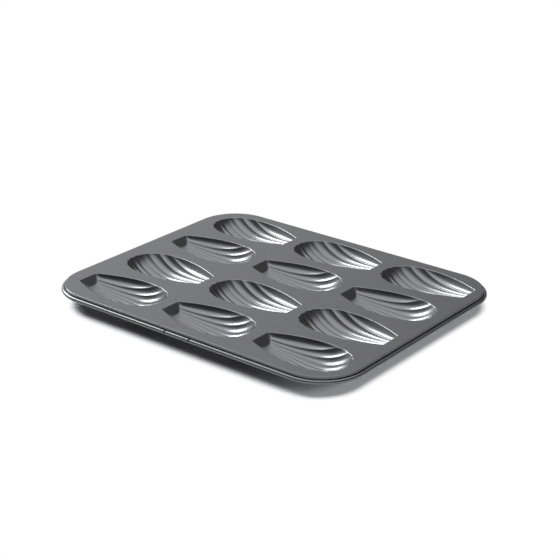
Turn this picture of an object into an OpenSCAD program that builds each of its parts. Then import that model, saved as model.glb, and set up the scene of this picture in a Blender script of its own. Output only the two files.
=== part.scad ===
// Madeleine pan: a pressed steel sheet with shell-shaped cups and a curled rim round a wire.
// Millimetres, +Z up. The origin is at the middle of the base, on the surface that the pan stands on.

/* [Sheet] */
// Length of the flat top, between the bends at the ends
plate_l = 278.4; // [272:0.1:300]
// Width of the flat top, between the bends at the sides
plate_w = 223.8; // [218:0.1:250]
// Corner radius of the flat top
corner_r = 34; // [20:0.5:45]
// Thickness of the sheet
sheet_t = 0.6; // [0.5:0.05:0.8]

/* [Rim] */
// Diameter of the wire inside the curl
wire_d = 2; // [1.6:0.1:2.6]
// Gap between the wire and the curl
wire_gap = 0.05; // [0.03:0.01:0.1]
// Depth of the curl's centre below the flat top
curl_drop = 3.75; // [3.3:0.05:6]
// Part of a turn that the curl makes, from the foot of the step wall
curl_turn = 295; // [270:5:300]
// Distance between the two notches in the curl
notch_pitch = 24; // [12:1:60]
// Width of a notch
notch_w = 1.6; // [1:0.1:3]

/* [Cups] */
// Distance between cups along the length
pitch_x = 89; // [84:0.5:92]
// Distance between cups across the width
pitch_y = 54.3; // [48:0.1:55]
// Distance of the cups' common middle from the middle of the flat top, along the length
cups_x = 2; // [-4:0.1:4]
// Distance of the cups' common middle from the middle of the flat top, across the width
cups_y = 0.6; // [-4:0.1:4]
// Length of a cup at its mouth, without the lobes
cup_l = 78.5; // [70:0.5:80]
// Greatest width of a cup at its mouth
cup_w = 43; // [36:0.5:44]
// Width of the straight narrow end
end_w = 18.6; // [14:0.2:22]
// Distance of the widest place from the cup's middle, towards the wide end
widest_at = 6; // [2:0.5:9]
// Depth of a cup along its middle ridge, at the deepest place
cup_depth = 14.4; // [11:0.1:18]
// Distance of the deepest place from the cup's middle, towards the wide end
deepest_at = 10; // [6:0.5:13]
// Depth of the bowl where the slanted end wall meets it
end_depth = 5.6; // [4:0.1:7]
// Drop of the slanted end wall for each millimetre of run
end_slope = 1.05; // [0.9:0.05:1.4]

/* [Flutes] */
// Number of flutes between the outermost ridges
flute_count = 8; // [6:2:10]
// Angle from one ridge to the next, seen from above
flute_angle = 3.75; // [3.2:0.05:4]
// Distance from the narrow end back to the point that the ridges fan out from
fan_back = 22.75; // [20:0.25:28]
// Depth of a flute at the deepest place of the cup
flute_depth = 1; // [0.5:0.05:1.4]
// How far the lobes of the mouth stand out between the ridges
lobe = 0.8; // [0.3:0.1:1.2]
// Length of the flats that a cup stands on, one in each flute beside its middle ridge
foot_l = 4; // [3:0.5:6]

/* [Hidden] */
$fn = 64;

// Cups along the length and across the width, as the names of the nodes count them
cup_cols = 3;
cup_rows = 4;

// The curl is a tube of sheet round the wire, and its inner side carries on from the step wall
curl_ri = wire_d / 2 + wire_gap;
curl_ro = curl_ri + sheet_t;
bend_ro = curl_ri;
curl_out = bend_ro + curl_ri;

// Ends of a cup along its own X axis, which points to the wide end
x_narrow = -cup_l / 2;
x_wide = cup_l / 2;
fan_x = x_narrow - fan_back;
fan_half = flute_count * flute_angle / 2;
flute_segs = 3;
side_segs = 2;
taper_power = 1.8;
wide_power = 2.4;
floor_power = 1.4;
rise_power = 0.75;

// Places of the rows along a column, from the foot of the end wall to the mouth. Two of them hold the flat.
deep_t = (deepest_at - x_narrow) / cup_l;
flat_t = foot_l / 2 / cup_l;
row_t = concat(
    [for (u = [0, 0.32, 0.66]) u * deep_t],
    [deep_t - flat_t, deep_t + flat_t],
    [for (u = [0.36, 0.66, 0.87, 1]) deep_t + u * (1 - deep_t)]
);
rows = len(row_t);
flat_rows = [4, 5];

// Half width of the mouth at x
function half_w(x) = x < widest_at
    ? cup_w / 2 - (cup_w - end_w) / 2 * pow((widest_at - x) / (widest_at - x_narrow), taper_power)
    : cup_w / 2 * pow(max(0, 1 - pow((x - widest_at) / (x_wide - widest_at), wide_power)), 1 / wide_power);

// Depth of the bowl along its middle at x
function floor_depth(x) = x < deepest_at
    ? cup_depth - (cup_depth - end_depth) * pow((deepest_at - x) / (deepest_at - x_narrow), floor_power)
    : cup_depth * pow(max(0, 1 - pow((x - deepest_at) / (x_wide - deepest_at), 2)), rise_power);

// Height of the plain bowl at a point of its plan, measured from the flat top
function bowl_z(x, y) = let(w = max(0.01, half_w(x))) -floor_depth(x) * max(0, 1 - pow(y / w, 2));
function wall_z(x) = -end_slope * (x - x_narrow);

// Distance along a ray from the fan's point to the mouth, found by halving
function mouth_r(a, lo, hi, n = 30) = n == 0
    ? (lo + hi) / 2
    : let(mid = (lo + hi) / 2, x = fan_x + mid * cos(a), inside = x < x_wide && mid * sin(a) < half_w(x))
      mouth_r(a, inside ? mid : lo, inside ? hi : mid, n - 1);
function ridge_end_r(a) = mouth_r(abs(a), fan_back + cup_l / 2, fan_back + cup_l + 2);

// Where the last ridge runs out at the mouth
ridge_end_x = fan_x + ridge_end_r(fan_half) * cos(fan_half);

// Columns run from the narrow end to the mouth. An inner column is an angle, and an outer one a share of the way
// from the last ridge to the side of the mouth. Each is [angle, share, place within its flute, side].
inner_count = flute_count * flute_segs;
columns = concat(
    [for (i = [side_segs : -1 : 1]) [-fan_half, i / side_segs, i / side_segs, -1]],
    [for (i = [0 : inner_count]) [-fan_half + i * flute_angle / flute_segs, 0, (i % flute_segs) / flute_segs, 0]],
    [for (i = [1 : side_segs]) [fan_half, i / side_segs, i / side_segs, 1]]
);

function scallop(c) = 4 * c[2] * (1 - c[2]);
function column_end_x(c) = c[3] == 0 ? fan_x + ridge_end_r(c[0]) * cos(c[0]) : ridge_end_x;
function column_y(c, x) = let(y = (x - fan_x) * tan(c[0]))
    c[3] == 0 ? y : y + c[3] * c[1] * (half_w(x) - abs(y));

// Where a column leaves the slanted end wall for the bowl
function wall_foot_x(c, lo, hi, n = 24) = n == 0
    ? (lo + hi) / 2
    : let(mid = (lo + hi) / 2, above = wall_z(mid) > bowl_z(mid, column_y(c, mid)))
      wall_foot_x(c, above ? mid : lo, above ? hi : mid, n - 1);

// Width of the flute that a column is in, and the depth that the flute adds: it grows with the width and fades out
// at the mouth
function flute_w(c, x) = c[3] == 0 ? (x - fan_x) * tan(flute_angle) : half_w(x) - (x - fan_x) * tan(fan_half);
function flute_add(c, x, t) =
    flute_depth * flute_w(c, x) / flute_w(foot_column, deepest_at) * scallop(c) * (1 - pow(t, 6));

// The lowest line of the flutes beside the middle ridge is where the pan stands
foot_column = [flute_angle / 2, 0, 1 / 2, 0];
foot_y = column_y(foot_column, deepest_at);
flat_depth = flute_add(foot_column, deepest_at, deep_t) - bowl_z(deepest_at, foot_y);
// Height of the flat top above the surface that the pan stands on
top_z = flat_depth + sheet_t;

// One point of the inner surface. Row 0 is the mouth at the narrow end and the last row is the mouth again.
function inner_point(c, row) =
    let(
        end_x = column_end_x(c),
        foot_x = c[1] == 1 ? x_narrow : wall_foot_x(c, x_narrow, 0),
        t = row == 0 ? 0 : row_t[row - 1],
        x = row == 0 ? x_narrow : foot_x + (end_x - foot_x) * t,
        y = column_y(c, x),
        r = norm([x - fan_x, y]),
        out = c[3] == 0 ? lobe * scallop(c) * pow(t, 3) : 0,
        on_mouth = row == 0 || row == rows || c[1] == 1,
        on_flat = abs(c[0]) > 0 && abs(c[0]) < flute_angle && (row == flat_rows[0] || row == flat_rows[1])
    )
    [
        x + out * (x - fan_x) / r,
        y + out * y / r,
        on_mouth ? 0 : on_flat ? -flat_depth : max(bowl_z(x, y) - flute_add(c, x, t), -flat_depth)
    ];

// How much deeper the sheet is than it is thick, because it slopes
function slope_factor(p) =
    let(
        step = 0.5,
        on_wall = wall_z(p[0]) > bowl_z(p[0], p[1]),
        sx = on_wall ? end_slope : (bowl_z(p[0] - step, p[1]) - bowl_z(p[0], p[1])) / step,
        sy = on_wall ? 0 : (bowl_z(p[0], max(0, abs(p[1]) - step)) - bowl_z(p[0], p[1])) / step
    )
    min(2, sqrt(1 + sx * sx + sy * sy));
function under_point(p) = p[2] == 0
    ? [p[0], p[1], -sheet_t]
    : [p[0], p[1], max(p[2] - sheet_t * slope_factor(p), -top_z)];

// The grid of points, and the number of the point that stands for each place in it. The corners of the narrow end
// are one point each, and the side columns all end where the last ridge meets the mouth.
last_col = len(columns) - 1;
inner_surface = [for (c = columns) for (row = [0 : rows]) inner_point(c, row)];
grid_size = len(inner_surface);
function grid_id(col, row) =
    row == 0 && (col == 0 || col == last_col) ? grid_id(col, 1)
    : row == rows && col < side_segs ? grid_id(side_segs, row)
    : row == rows && col > last_col - side_segs ? grid_id(last_col - side_segs, row)
    : col * (rows + 1) + row;
function real_faces(list) = [for (f = list) if (f[0] != f[1] && f[1] != f[2] && f[2] != f[0]) f];

// Each four-cornered patch is two triangles, and those of one half mirror those of the other
grid_faces = real_faces([
    for (col = [0 : last_col - 1]) for (row = [0 : rows - 1])
        let(
            a = grid_id(col, row),
            b = grid_id(col + 1, row),
            c = grid_id(col + 1, row + 1),
            d = grid_id(col, row + 1)
        )
        each (col < last_col / 2 ? [[a, b, c], [a, c, d]] : [[a, b, d], [b, c, d]])
]);

// The mouth, once round: the narrow end, one side, the wide end and the other side
mouth_ids = concat(
    [for (col = [0 : last_col - 1]) grid_id(col, 0)],
    [for (row = [1 : rows - 1]) grid_id(last_col, row)],
    [for (col = [last_col - side_segs : -1 : side_segs + 1]) grid_id(col, rows)],
    [for (row = [rows : -1 : 2]) grid_id(0, row)]
);
mouth_points = [for (i = mouth_ids) [inner_surface[i][0], inner_surface[i][1]]];
mouth_len = len(mouth_ids);

module cup_shell() {
    edge = [
        for (k = [0 : mouth_len - 1])
            let(a = mouth_ids[k], b = mouth_ids[(k + 1) % mouth_len])
            each [[a, b + grid_size, b], [a, a + grid_size, b + grid_size]]
    ];
    under = [for (f = grid_faces) [f[2] + grid_size, f[1] + grid_size, f[0] + grid_size]];
    polyhedron(
        points = concat(inner_surface, [for (p = inner_surface) under_point(p)]),
        faces = concat(grid_faces, under, edge)
    );
}

// Puts a cup, or its mouth, at its place. The rows turn end for end by turns.
module at_cup(row, col) {
    x = cups_x + (col - (cup_cols + 1) / 2) * pitch_x;
    y = cups_y + ((cup_rows + 1) / 2 - row) * pitch_y;
    translate([x, y, 0]) rotate(row % 2 == 1 ? 180 : 0) children();
}

module cup(row, col) {
    color("dimgray") translate([0, 0, top_z]) at_cup(row, col) cup_shell();
}

// Runs a flat section round the edge of the top, with x as the distance out from the top's edge
module round_the_edge() {
    for (q = [0 : 3]) {
        along_x = q % 2 == 0 ? plate_l : plate_w;
        along_y = q % 2 == 0 ? plate_w : plate_l;
        rotate(90 * q) translate([along_x / 2 - corner_r, along_y / 2 - corner_r, top_z]) {
            rotate_extrude(angle = 90) translate([corner_r, 0]) children();
            rotate([90, 0, 0]) linear_extrude(along_y - 2 * corner_r) translate([corner_r, 0]) children();
        }
    }
}

module ring_2d(ro, ri) {
    difference() {
        circle(ro);
        circle(ri);
    }
}

// The bend, the step wall and the curl
module rim_section() {
    reach = 2 * curl_ro;
    free_edge = curl_turn - 180;
    translate([-1, -sheet_t]) square([1, sheet_t]);
    translate([0, -bend_ro]) intersection() {
        ring_2d(bend_ro, bend_ro - sheet_t);
        square(bend_ro);
    }
    translate([bend_ro - sheet_t, -curl_drop]) square([sheet_t, curl_drop - bend_ro]);
    translate([curl_out, -curl_drop]) difference() {
        ring_2d(curl_ro, curl_ri);
        polygon([[0, 0], reach * [cos(free_edge), sin(free_edge)], [-reach, reach], [-reach, 0]]);
    }
}

module plate_2d() {
    square([plate_l - 2 * corner_r, plate_w], center = true);
    square([plate_l, plate_w - 2 * corner_r], center = true);
    for (x = [-1, 1], y = [-1, 1])
        translate([x * (plate_l / 2 - corner_r), y * (plate_w / 2 - corner_r)]) circle(corner_r, $fn = 128);
}

// Notches through the upper half of the curl, in the middle of the front side
module curl_notches() {
    for (side = [-1, 1])
        translate([side * notch_pitch / 2, -plate_w / 2 - bend_ro - 2 * curl_ro, top_z - curl_drop + curl_ro])
            cube([notch_w, 4 * curl_ro, 2 * curl_ro], center = true);
}

module top_sheet() {
    color("gray") {
        difference() {
            union() {
                translate([0, 0, top_z - sheet_t]) linear_extrude(sheet_t) plate_2d();
                round_the_edge($fn = 128) rim_section($fn = 64);
            }
            translate([0, 0, top_z - 2 * sheet_t]) linear_extrude(3 * sheet_t)
                for (row = [1 : cup_rows], col = [1 : cup_cols]) at_cup(row, col) polygon(mouth_points);
            curl_notches();
        }
    }
}

module rim_wire() {
    color("darkgray") round_the_edge($fn = 128) translate([curl_out, -curl_drop]) circle(d = wire_d, $fn = 32);
}

top_sheet();
rim_wire();
cup(1, 1);  // cup_1_1
cup(1, 2);  // cup_1_2
cup(1, 3);  // cup_1_3
cup(2, 1);  // cup_2_1
cup(2, 2);  // cup_2_2
cup(2, 3);  // cup_2_3
cup(3, 1);  // cup_3_1
cup(3, 2);  // cup_3_2
cup(3, 3);  // cup_3_3
cup(4, 1);  // cup_4_1
cup(4, 2);  // cup_4_2
cup(4, 3);  // cup_4_3
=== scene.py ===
# A madeleine pan: one pressed sheet of coated steel with twelve shell-shaped cups, and a wire in its rim.
# The sizes named here are millimetres, with Z measured from the flat top, and MM turns them into metres.
# Those of the floor, the studio and the materials are metres.
import math

import bpy
import numpy as np
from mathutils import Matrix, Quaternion, Vector
from mathutils.geometry import delaunay_2d_cdt


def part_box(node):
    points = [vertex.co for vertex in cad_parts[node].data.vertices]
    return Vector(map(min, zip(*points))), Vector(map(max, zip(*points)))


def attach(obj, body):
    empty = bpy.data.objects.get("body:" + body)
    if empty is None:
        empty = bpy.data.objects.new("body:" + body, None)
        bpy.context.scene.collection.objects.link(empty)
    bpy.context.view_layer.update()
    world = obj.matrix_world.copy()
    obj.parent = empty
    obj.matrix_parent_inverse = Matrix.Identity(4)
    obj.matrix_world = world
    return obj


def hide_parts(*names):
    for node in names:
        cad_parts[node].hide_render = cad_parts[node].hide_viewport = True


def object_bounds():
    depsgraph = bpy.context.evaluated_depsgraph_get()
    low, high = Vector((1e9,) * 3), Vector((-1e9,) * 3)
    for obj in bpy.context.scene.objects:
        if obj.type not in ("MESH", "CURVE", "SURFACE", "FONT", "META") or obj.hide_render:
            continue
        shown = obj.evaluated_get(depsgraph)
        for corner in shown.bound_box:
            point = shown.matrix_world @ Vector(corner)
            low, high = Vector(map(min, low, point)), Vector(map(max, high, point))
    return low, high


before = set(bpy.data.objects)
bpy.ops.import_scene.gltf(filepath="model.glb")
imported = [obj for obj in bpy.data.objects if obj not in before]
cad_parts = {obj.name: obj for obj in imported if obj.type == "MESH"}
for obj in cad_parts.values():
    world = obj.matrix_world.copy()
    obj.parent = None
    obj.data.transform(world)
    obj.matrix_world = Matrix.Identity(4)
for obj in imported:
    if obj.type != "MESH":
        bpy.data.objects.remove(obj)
cad_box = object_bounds()
MM = 0.001

# Sheet and rim
SHEET = 0.6
WIRE_R = 1.0
WIRE_GAP = 0.05
CURL_IN = WIRE_R + WIRE_GAP
CURL_OUT = CURL_IN + SHEET
CURL_DROP = 3.75
CURL_TURN = 295
BEND = CURL_IN
TOP_BEND = 0.5
CURL_X = BEND + CURL_IN
CORNER_R = 34.0
NOTCH_PITCH = 24.0
NOTCH_W = 1.6

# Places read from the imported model
SHEET_LOW, SHEET_HIGH = (np.array(corner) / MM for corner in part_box("top_sheet"))
TOP = SHEET_HIGH[2]
PLATE_L = SHEET_HIGH[0] - SHEET_LOW[0] - 2 * (CURL_X + CURL_OUT)
PLATE_W = SHEET_HIGH[1] - SHEET_LOW[1] - 2 * (CURL_X + CURL_OUT)

# Cups, each in its own plan with +X towards the wide end
COLS, ROWS = 3, 4
PITCH_X, PITCH_Y = 89.0, 54.3
CUPS_X, CUPS_Y = 2.0, 0.6
CUP_L, CUP_W, END_W = 78.5, 43.0, 18.6
WIDEST_AT, DEEPEST_AT = 6.0, 10.0
CUP_DEPTH, END_DEPTH, END_SLOPE = 14.4, 5.6, 1.05
TAPER_POWER, WIDE_POWER, FLOOR_POWER, RISE_POWER = 1.8, 2.4, 1.4, 0.75
X_NARROW, X_WIDE = -CUP_L / 2, CUP_L / 2

# Flutes, which fan out from a point behind the narrow end
FLUTES = 8
FLUTE_ANGLE = math.radians(3.75)
FAN_X = X_NARROW - 22.75
FAN_HALF = FLUTES * FLUTE_ANGLE / 2
FLUTE_DEPTH = 1.0
LOBE = 0.8
LOBE_POWER, FADE_POWER = 3, 6
RIDGE_ROUND = 0.06

# Bends pressed into the sheet, and the steepest wall that the bend at the mouth is fitted to
MOUTH_R = 0.85
WALL_FOOT_BLEND = 0.9
STEEPEST = 3

# How finely the cups are drawn: shares across a flute, distances from the two ends of a column and from
# the side, and distances of the rings of sheet round the mouth
FLUTE_SHARES = (0, 0.05, 0.14, 0.3, 0.5, 0.7, 0.86, 0.95)
FROM_NARROW = (0, 0.14, 0.3, 0.5, 0.9, 1.8, 3.2, 4.3, 4.9, 5.5, 6.4)
FROM_MOUTH = (0, 0.12, 0.26, 0.44, 0.75, 1.3, 2.2, 3.6, 5.6, 8.2)
MIDDLE_ROWS = 14
FROM_SIDE = (0, 0.14, 0.32, 0.6, 1.0, 2, 3, 4, 5, 6, 7)
SIDE_SHARES = (0, 0.06, 0.12, 0.2, 0.3, 0.42, 0.55, 0.68, 0.8, 0.89, 0.96)
RINGS = (0.13, 0.27, 0.42, 0.65, 1.0, 1.5)

# How finely the rim is drawn: rows on the flat top by their distance from its edge, and steps of the bends
FLAT_ROWS = (-1, -0.4)
TOP_BEND_STEPS, LOWER_CURL_STEPS, UPPER_CURL_STEPS = 8, 18, 12
CORNER_STEPS = 30

# Angle between two faces from which the edge between them is sharp
SHARP_ANGLE = math.radians(60)


def smooth_min(a, b, k):
    h = np.clip(1 - np.abs(a - b) / k, 0, 1)
    return np.minimum(a, b) - h * h * k / 4


def half_width(x):
    """Half width of the mouth at x."""
    low = np.clip((WIDEST_AT - x) / (WIDEST_AT - X_NARROW), 0, 1)
    high = np.clip((x - WIDEST_AT) / (X_WIDE - WIDEST_AT), 0, 1)
    taper = CUP_W / 2 - (CUP_W - END_W) / 2 * low ** TAPER_POWER
    return np.where(x < WIDEST_AT, taper, CUP_W / 2 * (1 - high ** WIDE_POWER) ** (1 / WIDE_POWER))


def floor_depth(x):
    """Depth of the bowl along its middle at x."""
    low = np.clip((DEEPEST_AT - x) / (DEEPEST_AT - X_NARROW), 0, 1)
    high = np.clip((x - DEEPEST_AT) / (X_WIDE - DEEPEST_AT), 0, 1)
    fall = CUP_DEPTH - (CUP_DEPTH - END_DEPTH) * low ** FLOOR_POWER
    return np.where(x < DEEPEST_AT, fall, CUP_DEPTH * (1 - high ** 2) ** RISE_POWER)


def bowl_height(x, y):
    return -floor_depth(x) * np.clip(1 - (y / np.maximum(half_width(x), 0.01)) ** 2, 0, 1)


def wall_height(x):
    return -END_SLOPE * (x - X_NARROW)


def halving(low, high, too_far, steps=40):
    """The place between low and high where too_far turns true."""
    low, high = np.array(low, float), np.array(high, float)
    for _ in range(steps):
        middle = (low + high) / 2
        far = too_far(middle)
        high = np.where(far, middle, high)
        low = np.where(far, low, middle)
    return (low + high) / 2


def scallop(share):
    """Depth of a flute across its width, from 0 at its ridges to 1 in the middle, with the ridges rounded."""
    near = np.minimum(share, 1 - share)
    reach = math.hypot(0.5, RIDGE_ROUND) - RIDGE_ROUND
    near = (np.hypot(near, RIDGE_ROUND) - RIDGE_ROUND) / reach / 2
    return 4 * near * (1 - near)


def mouth_outward(x, y):
    """Level direction that leads straight out of the mouth, without the lobes."""
    step = 0.01
    slope = (half_width(x + step) - half_width(x - step)) / (2 * step)
    taper = np.stack([-slope, np.sign(y)], -1)
    along = np.clip((x - WIDEST_AT) / (X_WIDE - WIDEST_AT), 0, 1) ** (WIDE_POWER - 1) / (X_WIDE - WIDEST_AT)
    across = np.sign(y) * (2 * np.abs(y) / CUP_W) ** (WIDE_POWER - 1) * 2 / CUP_W
    out = np.where((x < WIDEST_AT)[..., None], taper, np.stack([along, across], -1))
    return out / np.linalg.norm(out, axis=-1, keepdims=True)


def bend_reach(slope):
    """Height over which the bend at the mouth turns the flat top into a wall of this slope."""
    return slope * MOUTH_R * np.tan(np.arctan(slope) / 2)


class Grid:
    """The plan of one cup: columns run from the narrow end to the mouth, rows cross them."""

    def __init__(self):
        angles, shares = [], []
        for flute in range(FLUTES):
            for share in FLUTE_SHARES:
                angles.append(-FAN_HALF + (flute + share) * FLUTE_ANGLE)
                shares.append(share)
        angles.append(FAN_HALF)
        shares.append(0)
        self.sides = len(SIDE_SHARES)
        inner = np.array(angles)
        end_r = halving(
            np.full(len(inner), -FAN_X),
            np.full(len(inner), X_WIDE - FAN_X + 2),
            lambda r: (FAN_X + r * np.cos(inner) > X_WIDE)
            | (np.abs(r * np.sin(inner)) > half_width(FAN_X + r * np.cos(inner))),
        )
        inner_end = FAN_X + end_r * np.cos(inner)
        side_end = inner_end[0]
        self.angle = np.concatenate([np.full(self.sides, -FAN_HALF), inner, np.full(self.sides, FAN_HALF)])
        self.end_x = np.concatenate([np.full(self.sides, side_end), inner_end, np.full(self.sides, side_end)])
        self.cols = len(self.angle)
        self.x = np.array([self.stations(end) for end in self.end_x])
        self.rows = self.x.shape[1]
        ray_y = (self.x - FAN_X) * np.tan(self.angle)[:, None]
        self.share = np.zeros_like(self.x)
        self.share[self.sides:-self.sides] = np.array(shares)[:, None]
        self.y = ray_y.copy()
        edge = half_width(self.x[0])
        width = edge - np.abs(ray_y[0])
        for i in range(self.sides):
            inset = np.minimum(FROM_SIDE[i], SIDE_SHARES[i] * width)
            for col, side in ((i, -1), (self.cols - 1 - i, 1)):
                self.y[col] = side * (edge - inset)
                self.share[col] = 1 - inset / np.maximum(width, 1e-9)
        self.is_side = np.ones(self.cols, bool)
        self.is_side[self.sides:-self.sides] = False

    @staticmethod
    def stations(end):
        first = X_NARROW + np.array(FROM_NARROW)
        last = end - np.array(FROM_MOUTH)[::-1]
        middle = np.linspace(first[-1], last[0], MIDDLE_ROWS + 2)[1:-1]
        return np.concatenate([first, middle, last])

    def point_id(self, col, row):
        """The columns of the sides all end where the last ridge meets the mouth."""
        if row == self.rows - 1:
            col = min(max(col, self.sides), self.cols - 1 - self.sides)
        return col * self.rows + row

    def mouth(self):
        """Point numbers once round the mouth: narrow end, one side, wide end, other side."""
        last_col, last_row = self.cols - 1, self.rows - 1
        ids = [self.point_id(c, 0) for c in range(last_col)]
        ids += [self.point_id(last_col, r) for r in range(last_row)]
        ids += [self.point_id(c, last_row) for c in range(last_col - self.sides, self.sides - 1, -1)]
        ids += [self.point_id(0, r) for r in range(last_row - 1, 0, -1)]
        return np.array(ids)


def cup_surface(grid, fluted):
    """Points of one cup with the rings of flat sheet round its mouth, in its own plan."""
    x, y = grid.x, grid.y
    foot_x = halving(
        np.full(grid.cols, X_NARROW),
        np.zeros(grid.cols),
        lambda m: wall_height(m) < bowl_height(m, (m - FAN_X) * np.tan(grid.angle)),
    )
    foot_x[grid.is_side] = foot_x[grid.sides]
    along = np.clip((x - foot_x[:, None]) / (grid.end_x - foot_x)[:, None], 0, 1)
    ray_y = np.abs((x - FAN_X) * np.tan(grid.angle)[:, None])
    width = np.where(grid.is_side[:, None], half_width(x) - ray_y, (x - FAN_X) * math.tan(FLUTE_ANGLE))
    full_width = (DEEPEST_AT - FAN_X) * math.tan(FLUTE_ANGLE)
    flute = FLUTE_DEPTH * width / full_width * scallop(grid.share) * (1 - along ** FADE_POWER)
    height = bowl_height(x, y) - fluted * flute
    height = -smooth_min(-wall_height(x), -height, WALL_FOOT_BLEND)

    # Slope of the wall below the mouth, for each point: that of the end wall, the column's end or the side
    side_slope = 2 * floor_depth(x) / np.maximum(half_width(x), 1)
    last = 0.3
    end_slope = -bowl_height(grid.end_x - last, (grid.end_x - last - FAN_X) * np.tan(grid.angle)) / last
    outer = grid.is_side.copy()
    outer[[grid.sides, -1 - grid.sides]] = True
    end_slope = np.where(outer, side_slope[:, -1], end_slope)
    slope = np.where(outer[:, None], side_slope, end_slope[:, None])
    slope = np.where(x < DEEPEST_AT - CUP_L / 4, END_SLOPE, slope)
    slope = np.where(grid.is_side[:, None], side_slope, slope)
    slope[:, -1] = end_slope
    slope = np.clip(slope, END_SLOPE, STEEPEST)
    z = smooth_min(0, height, bend_reach(slope))

    lobe = np.where(grid.is_side[:, None], 0, LOBE * scallop(grid.share) * along ** LOBE_POWER)
    from_fan = np.hypot(x - FAN_X, y)
    points = np.stack([x + lobe * (x - FAN_X) / from_fan, y + lobe * y / from_fan, z], -1).reshape(-1, 3)

    mouth = grid.mouth()
    slopes = slope.reshape(-1)[mouth]
    out = mouth_outward(x.reshape(-1)[mouth], y.reshape(-1)[mouth])
    narrow = slice(1, grid.cols - 1)
    out[narrow] = (-1, 0)
    slopes[narrow] = END_SLOPE
    for corner in (0, grid.cols - 1):
        both = out[corner] + (-1, 0)
        out[corner] = both / np.linalg.norm(both) ** 2 * 2
    rings = []
    for distance in RINGS:
        level = points[mouth, :2] + out * distance
        rings.append(np.column_stack([level, smooth_min(0, slopes * distance, bend_reach(slopes))]))
    rings[-1][:, 2] = 0
    rings[-2][:, 2] = 0
    return np.concatenate([points] + rings)


def cup_faces(grid):
    faces = []
    for col in range(grid.cols - 1):
        for row in range(grid.rows - 1):
            corners = [grid.point_id(col, row), grid.point_id(col, row + 1)]
            corners += [grid.point_id(col + 1, row + 1), grid.point_id(col + 1, row)]
            distinct = [c for i, c in enumerate(corners) if c != corners[i - 1]]
            if len(distinct) > 2:
                faces.append(distinct)
    loops = [grid.mouth()]
    size = grid.cols * grid.rows
    for i in range(len(RINGS)):
        loops.append(size + i * len(loops[0]) + np.arange(len(loops[0])))
    for inner, outer in zip(loops[:-1], loops[1:]):
        for i in range(len(inner)):
            j = (i + 1) % len(inner)
            faces.append([int(inner[i]), int(inner[j]), int(outer[j]), int(outer[i])])
    return faces, loops[-1]


def point_normals(points, faces):
    """Normals of points as the mean of the faces round them, weighted by area."""
    triangles = np.array([[f[0], f[i], f[i + 1]] for f in faces for i in range(1, len(f) - 1)])
    a, b, c = (points[triangles[:, i]] for i in range(3))
    face = np.cross(b - a, c - a)
    normals = np.zeros_like(points)
    for i in range(3):
        np.add.at(normals, triangles[:, i], face)
    length = np.linalg.norm(normals, axis=1, keepdims=True)
    return normals / np.maximum(length, 1e-12)


def rim_profile():
    """The sheet's upper side across the rim, as distance out from the flat top's edge, height and normal,
    and the row at which the curl's upper half starts."""
    rows = [(distance, 0, 0, 1) for distance in FLAT_ROWS]
    for angle in np.radians(np.linspace(90, 0, TOP_BEND_STEPS)):
        out = (math.cos(angle), math.sin(angle))
        rows.append((BEND - TOP_BEND + TOP_BEND * out[0], TOP_BEND * out[1] - TOP_BEND, *out))
    lower = np.linspace(180, 360, LOWER_CURL_STEPS)
    upper = np.linspace(360, 180 + CURL_TURN, UPPER_CURL_STEPS)
    upper_half = len(rows) + len(lower) - 1
    for angle in np.radians(np.concatenate([lower, upper[1:]])):
        out = (math.cos(angle), math.sin(angle))
        rows.append((CURL_X + CURL_IN * out[0], CURL_IN * out[1] - CURL_DROP, -out[0], -out[1]))
    return np.array(rows), upper_half


def rim_stations():
    """Places round the flat top's edge, each with its outward direction, and which stretches are notches."""
    stations, notch_starts = [], []
    half_l, half_w = PLATE_L / 2 - CORNER_R, PLATE_W / 2 - CORNER_R
    corners = [(half_l, -half_w, -90), (half_l, half_w, 0), (-half_l, half_w, 90), (-half_l, -half_w, 180)]
    for x, y, start in corners:
        for angle in np.radians(np.linspace(start, start + 90, CORNER_STEPS + 1)):
            out = (math.cos(angle), math.sin(angle))
            stations.append((x + CORNER_R * out[0], y + CORNER_R * out[1], *out))
    for middle in (-NOTCH_PITCH / 2, NOTCH_PITCH / 2):
        notch_starts.append(len(stations))
        for edge in (-NOTCH_W / 2, NOTCH_W / 2):
            stations.append((middle + edge, -PLATE_W / 2, 0, -1))
    return np.array(stations), notch_starts


def inside(points, loop):
    """Which level points lie inside a closed loop."""
    a, b = loop, np.roll(loop, -1, axis=0)
    x, y = points[:, 0:1], points[:, 1:2]
    crosses = (a[:, 1] > y) != (b[:, 1] > y)
    rise = np.where(b[:, 1] == a[:, 1], 1, b[:, 1] - a[:, 1])
    return (crosses & (x < a[:, 0] + (y - a[:, 1]) * (b[:, 0] - a[:, 0]) / rise)).sum(1) % 2 == 1


def flat_faces(points, outer, holes):
    """Triangles that fill the flat top between its edge and the rings round the cups."""
    ids = np.concatenate([outer] + holes)
    level = points[ids, :2]
    edges, start = [], 0
    for loop in [outer] + holes:
        count = len(loop)
        edges += [(start + i, start + (i + 1) % count) for i in range(count)]
        start += count
    found = delaunay_2d_cdt([Vector(p) for p in level], edges, [], 0, 1e-6)
    triangles = np.array([[found[3][v][0] for v in face] for face in found[2]])
    middles = level[triangles].mean(1)
    keep = inside(middles, points[outer, :2])
    for hole in holes:
        keep &= ~inside(middles, points[hole, :2])
    triangles = ids[triangles[keep]]
    a, b, c = (points[triangles[:, i], :2] for i in range(3))
    turned = (b - a)[:, 0] * (c - a)[:, 1] - (b - a)[:, 1] * (c - a)[:, 0] < 0
    triangles[turned] = triangles[turned][:, ::-1]
    return triangles.tolist()


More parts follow.
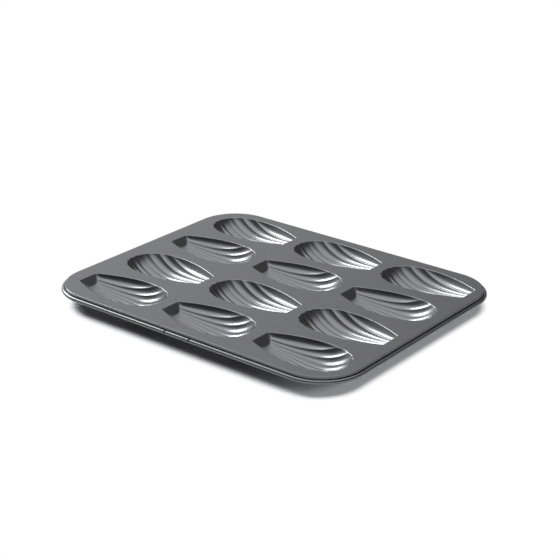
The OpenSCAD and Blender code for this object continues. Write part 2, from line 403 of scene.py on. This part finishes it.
def pressed_sheet():
    """Upper and under side of the whole sheet, and the faces that join them at its free edges."""
    grid = Grid()
    cup = cup_surface(grid, 1)
    faces_of_cup, ring = cup_faces(grid)
    lean = point_normals(cup_surface(grid, 0), faces_of_cup)
    upper, normals, faces, holes = [], [], [], []
    size = 0
    for row in range(1, ROWS + 1):
        turn = -1 if row % 2 == 1 else 1
        for col in range(1, COLS + 1):
            middle_x = CUPS_X + (col - (COLS + 1) / 2) * PITCH_X
            middle_y = CUPS_Y + ((ROWS + 1) / 2 - row) * PITCH_Y
            upper.append(cup * (turn, turn, 1) + (middle_x, middle_y, 0))
            normals.append(lean * (turn, turn, 1))
            faces += [[size + i for i in face] for face in faces_of_cup]
            holes.append(ring + size)
            size += len(cup)

    profile, upper_half = rim_profile()
    stations, notch_starts = rim_stations()
    count, across = len(stations), len(profile)
    place = stations[:, None, :2] + stations[:, None, 2:] * profile[None, :, 0:1]
    height = np.broadcast_to(profile[None, :, 1:2], place.shape[:2] + (1,))
    level = stations[:, None, 2:] * profile[None, :, 2:3]
    rise = np.broadcast_to(profile[None, :, 3:4], height.shape)
    upper.append(np.concatenate([place, height], -1).reshape(-1, 3))
    normals.append(np.concatenate([level, rise], -1).reshape(-1, 3))
    for i in range(count):
        j = (i + 1) % count
        for k in range(across - 1):
            if i in notch_starts and k >= upper_half:
                continue
            here, there = size + i * across + k, size + j * across + k
            faces.append([here, here + 1, there + 1, there])
    outer = size + np.arange(count) * across
    upper, normals = np.concatenate(upper), np.concatenate(normals)
    faces += flat_faces(upper, outer, holes)

    under = upper - normals * SHEET
    under[:, 2] = np.maximum(under[:, 2], -TOP)
    return upper, under, faces


def closed_solid(upper, under, faces):
    """One closed sheet: upper side, under side turned over, and a strip along each free edge."""
    size = len(upper)
    edges = set()
    for face in faces:
        edges.update((face[i - 1], face[i]) for i in range(len(face)))
    strips = [[b, a, a + size, b + size] for a, b in edges if (b, a) not in edges]
    turned = [[i + size for i in face[::-1]] for face in faces]
    points = np.concatenate([upper, under]) + (0, 0, TOP)
    return points * MM, faces + turned + sorted(strips)


def mesh_piece(name, points, faces, material):
    used = np.unique(np.concatenate([np.array(f) for f in faces]))
    number = np.full(len(points), -1)
    number[used] = np.arange(len(used))
    mesh = bpy.data.meshes.new(name)
    mesh.from_pydata(points[used].tolist(), [], [[int(number[i]) for i in face] for face in faces])
    mesh.validate()
    mesh.shade_smooth()
    mesh.set_sharp_from_angle(angle=SHARP_ANGLE)
    mesh.materials.append(material)
    piece = bpy.data.objects.new(name, mesh)
    bpy.context.scene.collection.objects.link(piece)
    return piece


def new_material(name):
    material = bpy.data.materials.new(name)
    material.use_nodes = True
    return material, material.node_tree.nodes, material.node_tree.links


def noise(nodes, links, scale, detail=2):
    """Noise that is fixed to the piece, with scale as its features per metre."""
    place = nodes.new("ShaderNodeTexCoord")
    texture = nodes.new("ShaderNodeTexNoise")
    texture.inputs["Scale"].default_value = scale
    texture.inputs["Detail"].default_value = detail
    links.new(place.outputs["Object"], texture.inputs["Vector"])
    return texture.outputs["Fac"]


def ranged(nodes, links, value, low, high, to_low, to_high, kind="LINEAR"):
    scale = nodes.new("ShaderNodeMapRange")
    scale.interpolation_type = kind
    for name, number in (("From Min", low), ("From Max", high), ("To Min", to_low), ("To Max", to_high)):
        scale.inputs[name].default_value = number
    links.new(value, scale.inputs["Value"])
    return scale.outputs["Result"]


# Coat and wire: the two tones that each is mixed from, how rough it is, and features per metre of its noises
COAT_DARK, COAT_LIGHT = (0.146, 0.147, 0.156, 1), (0.158, 0.159, 0.168, 1)
COAT_ROUGHNESS = (0.26, 0.30)
MOTTLE_SCALE, FLAKE_SCALE, PEEL_SCALE = 60, 9000, 1600
PEEL_STRENGTH, PEEL_DEPTH = 0.03, 0.00005
WIRE_DARK, WIRE_LIGHT = (0.07, 0.07, 0.075, 1), (0.12, 0.12, 0.125, 1)
WIRE_ROUGHNESS = (0.35, 0.5)
WIRE_TONE_SCALE, WIRE_SHEEN_SCALE = 700, 400
NOISE_RANGE = (0.3, 0.7)


def nonstick_coat():
    """Dark grey non-stick coat: fine orange peel, uneven sheen and a trace of metal flake."""
    material, nodes, links = new_material("nonstick_coat")
    shader = nodes["Principled BSDF"]
    shader.inputs["Metallic"].default_value = 1
    mottle = noise(nodes, links, MOTTLE_SCALE, 4)
    flake = noise(nodes, links, FLAKE_SCALE, 1)
    ramp = nodes.new("ShaderNodeMix")
    ramp.data_type = "RGBA"
    ramp.inputs["A"].default_value = COAT_DARK
    ramp.inputs["B"].default_value = COAT_LIGHT
    links.new(ranged(nodes, links, flake, *NOISE_RANGE, 0, 1), ramp.inputs["Factor"])
    links.new(ramp.outputs["Result"], shader.inputs["Base Color"])
    links.new(ranged(nodes, links, mottle, *NOISE_RANGE, *COAT_ROUGHNESS), shader.inputs["Roughness"])
    bump = nodes.new("ShaderNodeBump")
    bump.inputs["Strength"].default_value = PEEL_STRENGTH
    bump.inputs["Distance"].default_value = PEEL_DEPTH
    links.new(noise(nodes, links, PEEL_SCALE), bump.inputs["Height"])
    links.new(bump.outputs["Normal"], shader.inputs["Normal"])
    return material


def wire_steel():
    """Drawn wire under a duller, darker coat."""
    material, nodes, links = new_material("coated_wire")
    shader = nodes["Principled BSDF"]
    shader.inputs["Metallic"].default_value = 1
    tone = nodes.new("ShaderNodeMix")
    tone.data_type = "RGBA"
    tone.inputs["A"].default_value = WIRE_DARK
    tone.inputs["B"].default_value = WIRE_LIGHT
    links.new(noise(nodes, links, WIRE_TONE_SCALE, 3), tone.inputs["Factor"])
    links.new(tone.outputs["Result"], shader.inputs["Base Color"])
    sheen = noise(nodes, links, WIRE_SHEEN_SCALE)
    links.new(ranged(nodes, links, sheen, *NOISE_RANGE, *WIRE_ROUGHNESS), shader.inputs["Roughness"])
    return material


def math_node(nodes, links, operation, first, second):
    node = nodes.new("ShaderNodeMath")
    node.operation = operation
    for socket, value in zip(node.inputs, (first, second)):
        if isinstance(value, (int, float)):
            socket.default_value = value
        else:
            links.new(value, socket)
    return node.outputs["Value"]


def switched(nodes, links, lit, white, share):
    """The lit look where share is 0 and plain white where it is 1."""
    mix = nodes.new("ShaderNodeMixShader")
    links.new(share, mix.inputs["Fac"])
    links.new(lit, mix.inputs[1])
    links.new(white, mix.inputs[2])
    return mix.outputs["Shader"]


# Floor, which shows as plain white past the pan's shadow. The band in which it turns white is given as
# distances from the middles of the pan's round corners, and it lies closer in on the pan's +X side.
FLOOR_SIZE = 6.0
FLOOR_COLOUR = (0.95, 0.95, 0.955, 1)
OUTLINE_R = (CORNER_R + CURL_X + CURL_OUT) * MM
SHADOW_NEAR, SHADOW_FAR = OUTLINE_R - 0.002, OUTLINE_R + 0.006
SHADOW_INSET = 0.005


def mirrored_ray(nodes, links):
    """1 for rays that a gloss mirrors or that glass lets through, and 0 for others."""
    ray = nodes.new("ShaderNodeLightPath").outputs
    return math_node(nodes, links, "MAXIMUM", ray["Is Glossy Ray"], ray["Is Transmission Ray"])


def camera_ray(nodes):
    return nodes.new("ShaderNodeLightPath").outputs["Is Camera Ray"]


def distance_from_pan(nodes, links):
    """Level distance from the box whose corners are the middles of the pan's round corners."""
    place = nodes.new("ShaderNodeTexCoord")
    parts = nodes.new("ShaderNodeSeparateXYZ")
    links.new(place.outputs["Object"], parts.inputs["Vector"])
    squares = []
    for axis, edge, inset in (("X", cad_box[1].x, SHADOW_INSET), ("Y", cad_box[1].y, 0)):
        middled = math_node(nodes, links, "ADD", parts.outputs[axis], inset / 2)
        size = math_node(nodes, links, "ABSOLUTE", middled, 0)
        past = math_node(nodes, links, "SUBTRACT", size, edge - OUTLINE_R - inset / 2)
        outside = math_node(nodes, links, "MAXIMUM", past, 0)
        squares.append(math_node(nodes, links, "POWER", outside, 2))
    return math_node(nodes, links, "SQRT", math_node(nodes, links, "ADD", *squares), 0)


def floor():
    material, nodes, links = new_material("studio_floor")
    nodes.remove(nodes["Principled BSDF"])
    lit = nodes.new("ShaderNodeBsdfDiffuse")
    lit.inputs["Color"].default_value = FLOOR_COLOUR
    white = nodes.new("ShaderNodeEmission")
    far = ranged(nodes, links, distance_from_pan(nodes, links), SHADOW_NEAR, SHADOW_FAR, 0, 1, "SMOOTHSTEP")
    seen = math_node(nodes, links, "MAXIMUM", camera_ray(nodes), mirrored_ray(nodes, links))
    share = math_node(nodes, links, "MULTIPLY", seen, far)

    # The white is seen or mirrored, and lights nothing as a lamp would
    material.cycles.emission_sampling = "NONE"
    result = switched(nodes, links, lit.outputs["BSDF"], white.outputs["Emission"], share)
    links.new(result, nodes["Material Output"].inputs["Surface"])
    mesh = bpy.data.meshes.new("floor")
    half = FLOOR_SIZE / 2
    corners = [(-half, -half, 0), (half, -half, 0), (half, half, 0), (-half, half, 0)]
    mesh.from_pydata(corners, [], [(0, 1, 2, 3)])
    mesh.materials.append(material)
    plane = bpy.data.objects.new("floor", mesh)
    bpy.context.scene.collection.objects.link(plane)


# Studio, as the coat mirrors it: a dim room with a pale backdrop on one side and patches of light in it.
# Each has its middle as a direction, its level above the room's, and the cosines of the angles from that
# middle at which it starts and is full. The camera sees white all round.
ROOM_LEVEL = 0.06
BACKDROP = ((-0.931, 0.250, 0.270), 0.8, 0.52, 0.92)
CEILING = ((-0.243, 0.0885, 0.966), 1.8, 0.60, 0.85)
SOFTBOX = ((-0.807, 0.142, 0.574), 16.0, 0.95, 0.995)
SIDE_WALL = ((0.629, 0.749, 0.208), 0.14, 0.10, 0.90)
SCREEN = ((0.606, -0.776, 0.174), 0.40, 0.80, 0.96)

# How much of the studio's own light dull surfaces get, and the two lamps that light those instead
ON_DULL = 0.22
KEY_AT, KEY_SIZE, KEY_WATTS = (-1.06, -0.39, 1.13), 0.5, 16
FILL_AT, FILL_SIZE, FILL_WATTS = (2.2, 0.25, 0.75), 1.2, 36
LAMP_COLOUR = (0.94, 0.95, 1)


def patch_of_light(nodes, links, way, towards, level, start, full):
    """Light on the part of the sky that lies towards a direction, above the level of the room."""
    facing = nodes.new("ShaderNodeVectorMath")
    facing.operation = "DOT_PRODUCT"
    facing.inputs[1].default_value = Vector(towards).normalized()
    links.new(way, facing.inputs[0])
    return ranged(nodes, links, facing.outputs["Value"], start, full, 0, level, "SMOOTHSTEP")


def studio_world():
    world = bpy.data.worlds.new("studio")
    world.use_nodes = True
    bpy.context.scene.world = world
    nodes, links = world.node_tree.nodes, world.node_tree.links
    way = nodes.new("ShaderNodeTexCoord").outputs["Generated"]
    backdrop = patch_of_light(nodes, links, way, *BACKDROP)
    brightest = math_node(nodes, links, "MULTIPLY", backdrop, mirrored_ray(nodes, links))
    for patch in (CEILING, SOFTBOX, SIDE_WALL, SCREEN):
        brightest = math_node(nodes, links, "MAXIMUM", brightest, patch_of_light(nodes, links, way, *patch))
    level = math_node(nodes, links, "ADD", brightest, ROOM_LEVEL)
    diffuse_ray = nodes.new("ShaderNodeLightPath").outputs["Is Diffuse Ray"]
    dimmer = ranged(nodes, links, diffuse_ray, 0, 1, 1, ON_DULL)
    lit = nodes["Background"]
    lit.inputs["Color"].default_value = (1, 1, 1, 1)
    links.new(math_node(nodes, links, "MULTIPLY", level, dimmer), lit.inputs["Strength"])
    white = nodes.new("ShaderNodeBackground")
    white.inputs["Color"].default_value = (1, 1, 1, 1)
    seen_straight = camera_ray(nodes)
    result = switched(nodes, links, lit.outputs["Background"], white.outputs["Background"], seen_straight)
    links.new(result, nodes["World Output"].inputs["Surface"])


def lamp(name, place, size, watts):
    """A soft square lamp that lights the floor and isn't mirrored in the coat."""
    light = bpy.data.lights.new(name, "AREA")
    light.size = size
    light.energy = watts
    light.color = LAMP_COLOUR
    holder = bpy.data.objects.new(name, light)
    holder.location = place
    holder.rotation_mode = "QUATERNION"
    holder.rotation_quaternion = (-Vector(place)).to_track_quat("-Z", "Y")
    holder.visible_glossy = False
    bpy.context.scene.collection.objects.link(holder)


# Camera, fitted to the photograph: where it is, where it aims, its roll, its lens and its near limit
CAMERA_AT = (661.0, -831.7, 456.5)
CAMERA_AIM = (-1.94, 10.52, 0)
CAMERA_ROLL = math.radians(0.30)
CAMERA_LENS = 93.75
CAMERA_SENSOR = 36
CAMERA_NEAR = 50


def camera():
    data = bpy.data.cameras.new("camera")
    data.lens = CAMERA_LENS
    data.sensor_width = CAMERA_SENSOR
    data.clip_start = CAMERA_NEAR * MM
    holder = bpy.data.objects.new("camera", data)
    lift = Vector((0, 0, TOP))
    place = (Vector(CAMERA_AT) + lift) * MM
    look = (Vector(CAMERA_AIM) + lift) * MM - place
    roll = Quaternion((0, 0, 1), CAMERA_ROLL)
    holder.location = place
    holder.rotation_mode = "QUATERNION"
    holder.rotation_quaternion = look.to_track_quat("-Z", "Y") @ roll
    bpy.context.scene.collection.objects.link(holder)
    bpy.context.scene.camera = holder


def pan():
    coat = nonstick_coat()
    sheet = mesh_piece("pressed_sheet", *closed_solid(*pressed_sheet()), coat)
    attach(sheet, "root")
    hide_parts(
        "top_sheet",
        *[f"cup_{row}_{col}" for row in range(1, ROWS + 1) for col in range(1, COLS + 1)],
    )
    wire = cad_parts["rim_wire"]
    wire.data.materials.clear()
    wire.data.materials.append(wire_steel())


bpy.context.scene.view_settings.view_transform = "Standard"
camera()
studio_world()
floor()
lamp("key", KEY_AT, KEY_SIZE, KEY_WATTS)
lamp("fill", FILL_AT, FILL_SIZE, FILL_WATTS)
pan()
